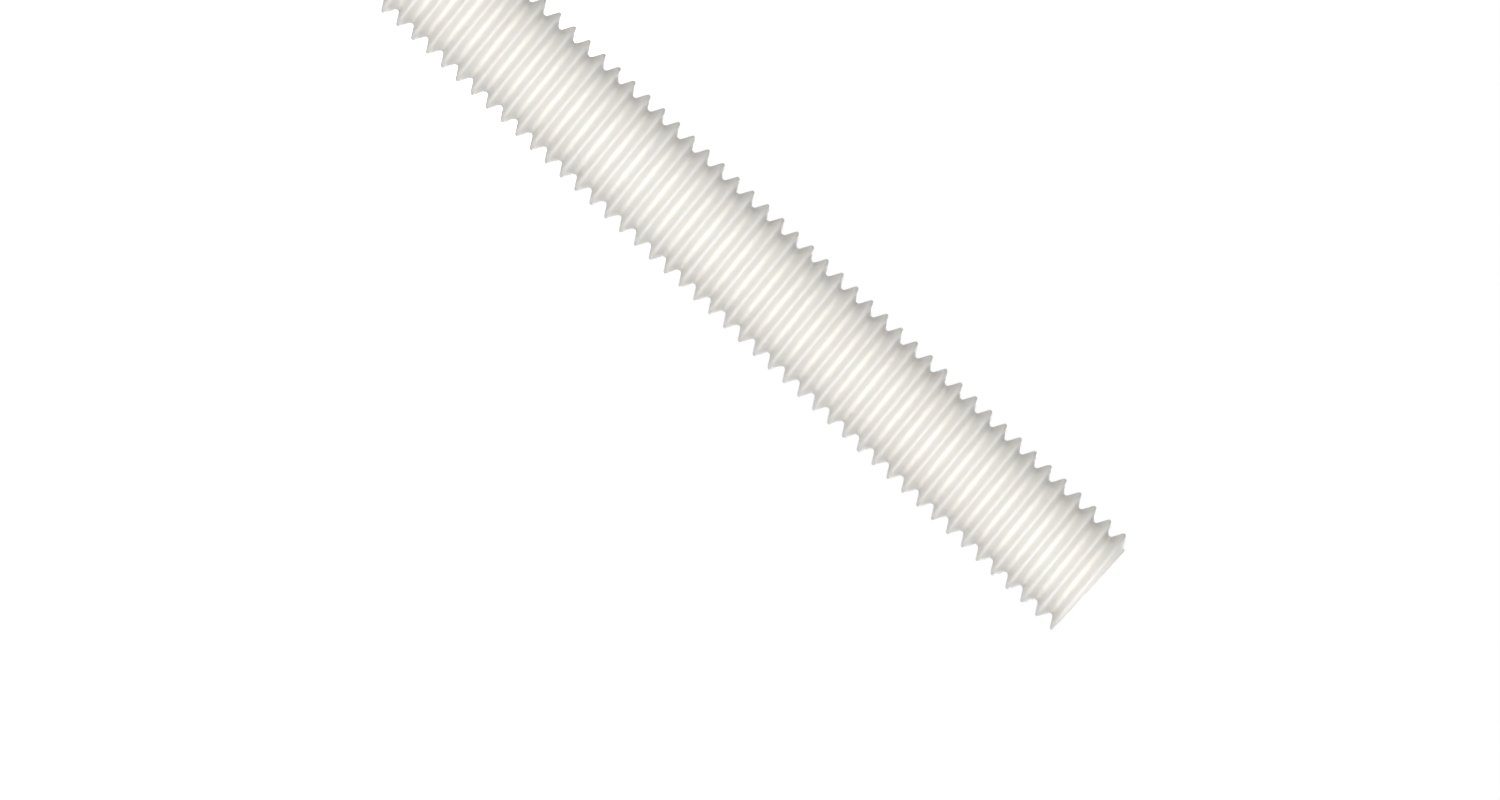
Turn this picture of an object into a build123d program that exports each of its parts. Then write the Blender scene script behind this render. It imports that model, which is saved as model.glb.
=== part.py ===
"""Plastic rod with a metric thread along its whole length, cut square at both ends.

Millimetres. +Z runs along the rod, and the origin is the centre of its lower end. The solid is
the rod over its crests: its thread is too fine for it, and is cut in the visual model.
"""

import os

from build123d import *

# Driving dimensions
major_diameter = 6.0  # over the crests of the thread
length = 50.0  # between the two cut ends

with BuildPart() as threaded_rod:
    with BuildSketch(Plane.XY) as lower_end:
        Circle(radius=major_diameter / 2)
    extrude(amount=length)

threaded_rod.part.label = "threaded_rod"

os.makedirs("parts", exist_ok=True)
export_step(threaded_rod.part, "parts/threaded_rod.step")
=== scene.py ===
"""A natural nylon rod with an M6 thread along its whole length, standing on a cut end.

Metres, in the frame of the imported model: +Z runs up the rod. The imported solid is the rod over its
crests, and this script cuts the thread, finishes the two ends and gives the nylon its looks.
"""

from math import pi, radians, sin, tan

import bmesh
import bpy
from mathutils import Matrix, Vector


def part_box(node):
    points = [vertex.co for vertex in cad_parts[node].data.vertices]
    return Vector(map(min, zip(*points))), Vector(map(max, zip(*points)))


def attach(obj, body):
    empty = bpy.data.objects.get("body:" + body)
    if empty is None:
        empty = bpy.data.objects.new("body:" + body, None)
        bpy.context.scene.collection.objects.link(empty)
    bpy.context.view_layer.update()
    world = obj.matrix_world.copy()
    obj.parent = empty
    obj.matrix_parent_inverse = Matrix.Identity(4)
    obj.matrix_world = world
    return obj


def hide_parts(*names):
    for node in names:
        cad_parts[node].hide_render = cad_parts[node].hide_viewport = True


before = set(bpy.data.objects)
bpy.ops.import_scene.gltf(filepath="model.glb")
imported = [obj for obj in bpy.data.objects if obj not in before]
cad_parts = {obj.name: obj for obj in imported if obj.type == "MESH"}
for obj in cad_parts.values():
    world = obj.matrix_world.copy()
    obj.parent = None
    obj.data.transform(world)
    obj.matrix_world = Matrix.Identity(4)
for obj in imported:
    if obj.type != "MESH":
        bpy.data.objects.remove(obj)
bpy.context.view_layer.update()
rod_low, rod_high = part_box("threaded_rod")

# The rod, from its solid
MAJOR_RADIUS = (rod_high[0] - rod_low[0]) / 2
BOTTOM = rod_low[2]
TOP = rod_high[2]

# The thread: one start, right hand
PITCH = 0.001
HALF_ANGLE = radians(30)  # of a groove
CREST_START = radians(11)  # from +X to the crest at the lower end
CREST_RADIUS = 0.12 * PITCH  # crests and grooves are rounded, as a plastic thread's are
ROOT_RADIUS = 0.145 * PITCH
ROUNDING_SEGMENTS = 8
ROUND_IN_SHARP_V = 0.444  # the bevel profile that rounds a 60 degree corner with a true arc
STEPS_PER_TURN = 80
SPARE_TURNS = 2  # past each end, before the ends are cut
WAVINESS = 0.000012  # of the moulded surface, always inwards
WAVE_SIZE = 0.0035

END_BREAK = 0.00002  # of the edge round each cut end
TOUCHING = 0.000001  # vertices nearer than this are one
SMOOTH_UP_TO = radians(35)

# The view: the rod crosses the picture from corner to corner, with its upper end at the lower right
ROD_FALL = radians(42.71)  # below level, towards the upper end
VIEW_WIDTH = 0.07418  # across the picture, at the rod
VIEW_BELOW_TOP = 0.01866  # from the upper end to the middle of the picture
VIEW_BESIDE_AXIS = 0.00473  # from the rod's axis to the middle of the picture
CAMERA_DISTANCE = 1.5
SENSOR_WIDTH = 36

# Finishes
WARM_TINT = (0.855, 0.831, 0.790, 1)
PALE_TINT = (0.880, 0.862, 0.826, 1)
DULLED_GLOSS = 0.15  # below nylon's own 0.5, or the white surround washes out the edges of the rod
PAPER = (0.86, 0.86, 0.86, 1)
FLOOR_WIDTH = 12

# Light levels
AMBIENT = 0.08
GLOW_BY_THE_ROD = 0.56  # of the floor, where the lamps light it too
GLOW_FAR_AWAY = 1
WHITE = (1, 1, 1, 1)


def select_none():
    """Nothing is selected, and nothing is being edited."""
    if bpy.context.object and bpy.context.object.mode != "OBJECT":
        bpy.ops.object.mode_set(mode="OBJECT")
    bpy.ops.object.select_all(action="DESELECT")


def edit_all(piece):
    """Opens a piece for editing with all of it selected."""
    bpy.context.view_layer.objects.active = piece
    bpy.ops.object.mode_set(mode="EDIT")
    bpy.ops.mesh.select_all(action="SELECT")


def pick_vertices(piece, wanted):
    """Selects the vertices of the piece in edit mode whose place passes the test."""
    bpy.ops.mesh.select_mode(type="VERT")
    bpy.ops.mesh.select_all(action="DESELECT")
    mesh = bmesh.from_edit_mesh(piece.data)
    for vertex in mesh.verts:
        vertex.select = wanted(vertex.co)
    mesh.select_flush_mode()
    bmesh.update_edit_mesh(piece.data)


def round_corner(radius):
    """Rounds the selected corner of the outline with an arc that meets both flanks smoothly."""
    bpy.ops.mesh.bevel(
        offset=radius / tan(HALF_ANGLE),
        segments=ROUNDING_SEGMENTS,
        profile=ROUND_IN_SHARP_V,
        affect="VERTICES",
    )


def trace_tooth():
    """The thread's outline for one pitch, from halfway up one flank to halfway up the next."""
    sharp_height = PITCH / (2 * tan(HALF_ANGLE))
    apex_radius = MAJOR_RADIUS + CREST_RADIUS * (1 / sin(HALF_ANGLE) - 1)
    pitches_below = SPARE_TURNS + 0.25 + CREST_START / (2 * pi)
    start = (apex_radius - sharp_height / 2, 0, BOTTOM - pitches_below * PITCH)

    bpy.ops.mesh.primitive_plane_add(size=PITCH, location=start)
    outline = bpy.context.object
    bpy.ops.object.transform_apply(location=True)
    edit_all(outline)
    bpy.ops.mesh.merge(type="CENTER")
    up_to_crest = (sharp_height / 2, 0, PITCH / 4)
    down_to_root = (-sharp_height, 0, PITCH / 2)
    for move in (up_to_crest, down_to_root, up_to_crest):
        bpy.ops.mesh.extrude_vertices_move(TRANSFORM_OT_translate={"value": move})

    pick_vertices(outline, lambda place: place.x > apex_radius - TOUCHING)
    round_corner(CREST_RADIUS)
    pick_vertices(outline, lambda place: place.x < apex_radius - sharp_height + TOUCHING)
    round_corner(ROOT_RADIUS)
    bpy.ops.object.mode_set(mode="OBJECT")
    return outline


def wind_thread(outline):
    """Winds the outline up the axis, one pitch for each turn, past both ends of the rod."""
    turns = round((TOP - BOTTOM) / PITCH) + 2 * SPARE_TURNS
    winding = outline.modifiers.new("winding", "SCREW")
    winding.axis = "Z"
    winding.angle = 2 * pi
    winding.screw_offset = PITCH
    winding.iterations = turns
    winding.steps = STEPS_PER_TURN
    winding.render_steps = STEPS_PER_TURN
    winding.use_merge_vertices = False
    bpy.ops.object.modifier_apply(modifier=winding.name)

    edit_all(outline)
    bpy.ops.mesh.remove_doubles(threshold=TOUCHING)
    bpy.ops.object.mode_set(mode="OBJECT")


def roughen_surface(rod):
    """The surface wanders inwards by about a hundredth of a millimetre, as a plastic thread's does."""
    clouds = bpy.data.textures.new("slow_waves", "CLOUDS")
    clouds.noise_scale = WAVE_SIZE
    waves = rod.modifiers.new("waves", "DISPLACE")
    waves.texture = clouds
    waves.texture_coords = "LOCAL"
    waves.mid_level = 1
    waves.strength = WAVINESS
    bpy.ops.object.modifier_apply(modifier=waves.name)


def cut_across(rod, height, upper):
    """Cuts the rod square at a height, takes away what is beyond, and closes the cut."""
    edit_all(rod)
    bpy.ops.mesh.bisect(
        plane_co=(0, 0, height),
        plane_no=(0, 0, 1),
        use_fill=True,
        clear_inner=not upper,
        clear_outer=upper,
        threshold=TOUCHING / 100,
    )
    bpy.ops.mesh.select_all(action="SELECT")
    bpy.ops.mesh.normals_make_consistent(inside=False)
    bpy.ops.object.mode_set(mode="OBJECT")


def finish_end(rod, height, upper):
    """Cuts an end of the rod and breaks the sharp edge round the cut."""
    cut_height = height - END_BREAK if upper else height + END_BREAK
    cut_across(rod, cut_height, upper)
    edit_all(rod)
    pick_vertices(rod, lambda place: abs(place.z - cut_height) < TOUCHING / 10)
    bpy.ops.mesh.select_mode(type="FACE")
    bpy.ops.mesh.inset(thickness=END_BREAK, depth=END_BREAK)
    bpy.ops.object.mode_set(mode="OBJECT")


def make_rod():
    """The threaded rod, in place of its plain solid."""
    select_none()
    rod = trace_tooth()
    rod.name = "nylon_threaded_rod"
    rod.data.name = "nylon_threaded_rod"
    wind_thread(rod)
    cut_across(rod, TOP + PITCH, upper=True)
    cut_across(rod, BOTTOM - PITCH, upper=False)
    roughen_surface(rod)
    finish_end(rod, TOP, upper=True)
    finish_end(rod, BOTTOM, upper=False)
    bpy.ops.object.shade_smooth_by_angle(angle=SMOOTH_UP_TO)
    rod.data.materials.clear()
    rod.data.materials.append(nylon())
    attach(rod, "root")
    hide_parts("threaded_rod")
    return rod


def new_material(name):
    """An empty node material with its output."""
    material = bpy.data.materials.new(name)
    material.use_nodes = True
    nodes = material.node_tree.nodes
    nodes.clear()
    output = nodes.new("ShaderNodeOutputMaterial")
    return material, nodes, material.node_tree.links, output


def math_node(nodes, links, operation, first, second=None):
    """A Math node, fed by sockets or by plain numbers."""
    node = nodes.new("ShaderNodeMath")
    node.operation = operation
    for socket, value in zip(node.inputs, (first, second)):
        if value is None:
            continue
        if isinstance(value, (int, float)):
            socket.default_value = value
        else:
            links.new(value, socket)
    return node.outputs["Value"]


def noise(nodes, links, vector, scale, detail=3.0, roughness=0.5):
    """A noise pattern on the given coordinates."""
    node = nodes.new("ShaderNodeTexNoise")
    node.inputs["Scale"].default_value = scale
    node.inputs["Detail"].default_value = detail
    node.inputs["Roughness"].default_value = roughness
    links.new(vector, node.inputs["Vector"])
    return node.outputs["Fac"]


def spread(nodes, links, value, low, high):
    """Turns a 0 to 1 pattern into a range."""
    node = nodes.new("ShaderNodeMapRange")
    node.inputs["From Min"].default_value = 0.3
    node.inputs["From Max"].default_value = 0.7
    node.inputs["To Min"].default_value = low
    node.inputs["To Max"].default_value = high
    links.new(value, node.inputs["Value"])
    return node.outputs["Result"]


def bump(nodes, links, height, distance, strength, normal=None):
    """A Bump node over an optional earlier one."""
    node = nodes.new("ShaderNodeBump")
    node.inputs["Distance"].default_value = distance
    node.inputs["Strength"].default_value = strength
    links.new(height, node.inputs["Height"])
    if normal is not None:
        links.new(normal, node.inputs["Normal"])
    return node.outputs["Normal"]


def winding_coordinates(nodes, links, place):
    """Coordinates that stay the same along the thread, so that lines drawn on them follow it."""
    parts = nodes.new("ShaderNodeSeparateXYZ")
    links.new(place, parts.inputs["Vector"])
    angle = math_node(nodes, links, "ARCTAN2", parts.outputs["Y"], parts.outputs["X"])
    climb = math_node(nodes, links, "MULTIPLY", parts.outputs["Z"], 2 * pi / PITCH)
    phase = math_node(nodes, links, "SUBTRACT", climb, angle)
    loop = PITCH / (2 * pi)
    across = math_node(nodes, links, "MULTIPLY", math_node(nodes, links, "COSINE", phase), loop)
    along = math_node(nodes, links, "MULTIPLY", math_node(nodes, links, "SINE", phase), loop)
    drift = math_node(nodes, links, "MULTIPLY", parts.outputs["Z"], 0.02)
    joined = nodes.new("ShaderNodeCombineXYZ")
    links.new(across, joined.inputs["X"])
    links.new(along, joined.inputs["Y"])
    links.new(drift, joined.inputs["Z"])
    return joined.outputs["Vector"]


def saw_marks(nodes, links, place):
    """Fine marks side by side across each cut end, and nothing elsewhere."""
    stretch = nodes.new("ShaderNodeMapping")
    stretch.inputs["Scale"].default_value = (1, 0.03, 0)
    links.new(place, stretch.inputs["Vector"])
    marks = noise(nodes, links, stretch.outputs["Vector"], 1800, detail=3)
    parts = nodes.new("ShaderNodeSeparateXYZ")
    links.new(place, parts.inputs["Vector"])
    from_top = math_node(nodes, links, "SUBTRACT", TOP, parts.outputs["Z"])
    from_bottom = math_node(nodes, links, "SUBTRACT", parts.outputs["Z"], BOTTOM)
    from_end = math_node(nodes, links, "MINIMUM", from_top, from_bottom)
    on_end = math_node(nodes, links, "LESS_THAN", from_end, END_BREAK / 2)
    return math_node(nodes, links, "MULTIPLY", marks, on_end)


def nylon():
    """Natural nylon: warm off-white and satin, with light passing a little way into it."""
    material, nodes, links, output = new_material("natural_nylon")
    place = nodes.new("ShaderNodeTexCoord").outputs["Object"]
    winding = winding_coordinates(nodes, links, place)

    tint = nodes.new("ShaderNodeMix")
    tint.data_type = "RGBA"
    tint.inputs["A"].default_value = WARM_TINT
    tint.inputs["B"].default_value = PALE_TINT
    links.new(spread(nodes, links, noise(nodes, links, place, 260), 0, 1), tint.inputs["Factor"])

    lines = noise(nodes, links, winding, 14000, detail=2)
    grain = noise(nodes, links, place, 9000, detail=4)
    ripples = noise(nodes, links, place, 900, detail=2)
    normal = bump(nodes, links, ripples, 0.00006, 0.35)
    normal = bump(nodes, links, lines, 0.000012, 0.5, normal)
    normal = bump(nodes, links, grain, 0.000006, 0.3, normal)
    normal = bump(nodes, links, saw_marks(nodes, links, place), 0.0003, 1, normal)

    shader = nodes.new("ShaderNodeBsdfPrincipled")
    shader.inputs["IOR"].default_value = 1.53
    shader.inputs["Specular IOR Level"].default_value = DULLED_GLOSS
    shader.inputs["Subsurface Weight"].default_value = 0.12
    shader.inputs["Subsurface Radius"].default_value = (1.0, 0.85, 0.6)
    shader.inputs["Subsurface Scale"].default_value = 0.00025
    links.new(tint.outputs["Result"], shader.inputs["Base Color"])
    links.new(spread(nodes, links, lines, 0.4, 0.52), shader.inputs["Roughness"])
    links.new(normal, shader.inputs["Normal"])
    links.new(shader.outputs["BSDF"], output.inputs["Surface"])
    return material


def seen_directly(nodes, links):
    """1 for what the camera sees, directly or in something shiny or clear, and 0 for the light itself."""
    rays = nodes.new("ShaderNodeLightPath").outputs
    mirrored = math_node(nodes, links, "MAXIMUM", rays["Is Glossy Ray"], rays["Is Transmission Ray"])
    return math_node(nodes, links, "MAXIMUM", rays["Is Camera Ray"], mirrored)


def white_paper():
    """The floor: white paper that keeps the rod's shadow and meets the background without an edge."""
    material, nodes, links, output = new_material("white_paper")
    place = nodes.new("ShaderNodeTexCoord").outputs["Object"]
    paper = nodes.new("ShaderNodeBsdfDiffuse")
    paper.inputs["Color"].default_value = PAPER
    links.new(bump(nodes, links, noise(nodes, links, place, 700), 0.0001, 0.1), paper.inputs["Normal"])

    reach = nodes.new("ShaderNodeVectorMath")
    reach.operation = "LENGTH"
    links.new(place, reach.inputs[0])
    glow_level = nodes.new("ShaderNodeMapRange")
    glow_level.interpolation_type = "SMOOTHSTEP"
    glow_level.inputs["From Min"].default_value = 0.1
    glow_level.inputs["From Max"].default_value = 0.4
    glow_level.inputs["To Min"].default_value = GLOW_BY_THE_ROD
    glow_level.inputs["To Max"].default_value = GLOW_FAR_AWAY
    links.new(reach.outputs["Value"], glow_level.inputs["Value"])
    glow = nodes.new("ShaderNodeEmission")
    shown = seen_directly(nodes, links)
    strength = math_node(nodes, links, "MULTIPLY", glow_level.outputs["Result"], shown)
    links.new(strength, glow.inputs["Strength"])

    both = nodes.new("ShaderNodeAddShader")
    links.new(paper.outputs["BSDF"], both.inputs[0])
    links.new(glow.outputs["Emission"], both.inputs[1])
    links.new(both.outputs["Shader"], output.inputs["Surface"])
    return material


def make_floor():
    """A wide plain floor at the foot of the rod."""
    select_none()
    bpy.ops.mesh.primitive_plane_add(size=FLOOR_WIDTH, location=(0, 0, BOTTOM))
    floor = bpy.context.object
    floor.name = "floor"
    bpy.ops.object.transform_apply(location=True)
    floor.data.materials.append(white_paper())


def make_world():
    """A white surround, which lights the rod less than it shows."""
    world = bpy.data.worlds.new("white_surround")
    bpy.context.scene.world = world
    world.use_nodes = True
    nodes = world.node_tree.nodes
    links = world.node_tree.links
    nodes.clear()
    light = nodes.new("ShaderNodeBackground")
    light.inputs["Color"].default_value = WHITE
    light.inputs["Strength"].default_value = AMBIENT
    shown = nodes.new("ShaderNodeBackground")
    shown.inputs["Color"].default_value = WHITE
    shown.inputs["Strength"].default_value = 1
    choice = nodes.new("ShaderNodeMixShader")
    links.new(seen_directly(nodes, links), choice.inputs[0])
    links.new(light.outputs["Background"], choice.inputs[1])
    links.new(shown.outputs["Background"], choice.inputs[2])
    output = nodes.new("ShaderNodeOutputWorld")
    links.new(choice.outputs["Shader"], output.inputs["Surface"])


def softbox(name, direction, distance, size, level):
    """A square soft lamp that faces the rod's middle.

    Level is how brightly it lights a white face turned to it.
    """
    middle = Vector((0, 0, (TOP + BOTTOM) / 2))
    aim = Vector(direction).normalized()
    data = bpy.data.lights.new(name, "AREA")
    data.shape = "SQUARE"
    data.size = size
    data.energy = level * pi * pi * distance * distance
    lamp = bpy.data.objects.new(name, data)
    lamp.location = middle + aim * distance
    lamp.rotation_euler = aim.to_track_quat("Z", "Y").to_euler()
    lamp.visible_camera = False
    bpy.context.collection.objects.link(lamp)


def make_lights():
    """A broad lamp in front, one overhead and a weaker one behind."""
    softbox("front_softbox", (0.12, -1, 0.1), 1.3, 0.5, 0.96)
    softbox("overhead_softbox", (0, -0.1, 1), 1.2, 0.7, 0.42)
    softbox("back_softbox", (0, 1, 0.25), 1.3, 0.5, 0.32)


def make_camera():
    """Level with the rod and square to it, lying on its side so that the rod crosses the picture."""
    data = bpy.data.cameras.new("camera")
    data.sensor_width = SENSOR_WIDTH
    data.lens = SENSOR_WIDTH * CAMERA_DISTANCE / VIEW_WIDTH
    data.clip_start = 0.01
    data.clip_end = 20
    camera = bpy.data.objects.new("camera", data)
    camera.location = (VIEW_BESIDE_AXIS, -CAMERA_DISTANCE, TOP - VIEW_BELOW_TOP)
    camera.rotation_euler = (pi / 2, -(pi / 2 + ROD_FALL), 0)
    bpy.context.collection.objects.link(camera)
    bpy.context.scene.camera = camera


make_rod()
make_floor()
make_world()
make_lights()
make_camera()
bpy.context.scene.view_settings.view_transform = "Standard"
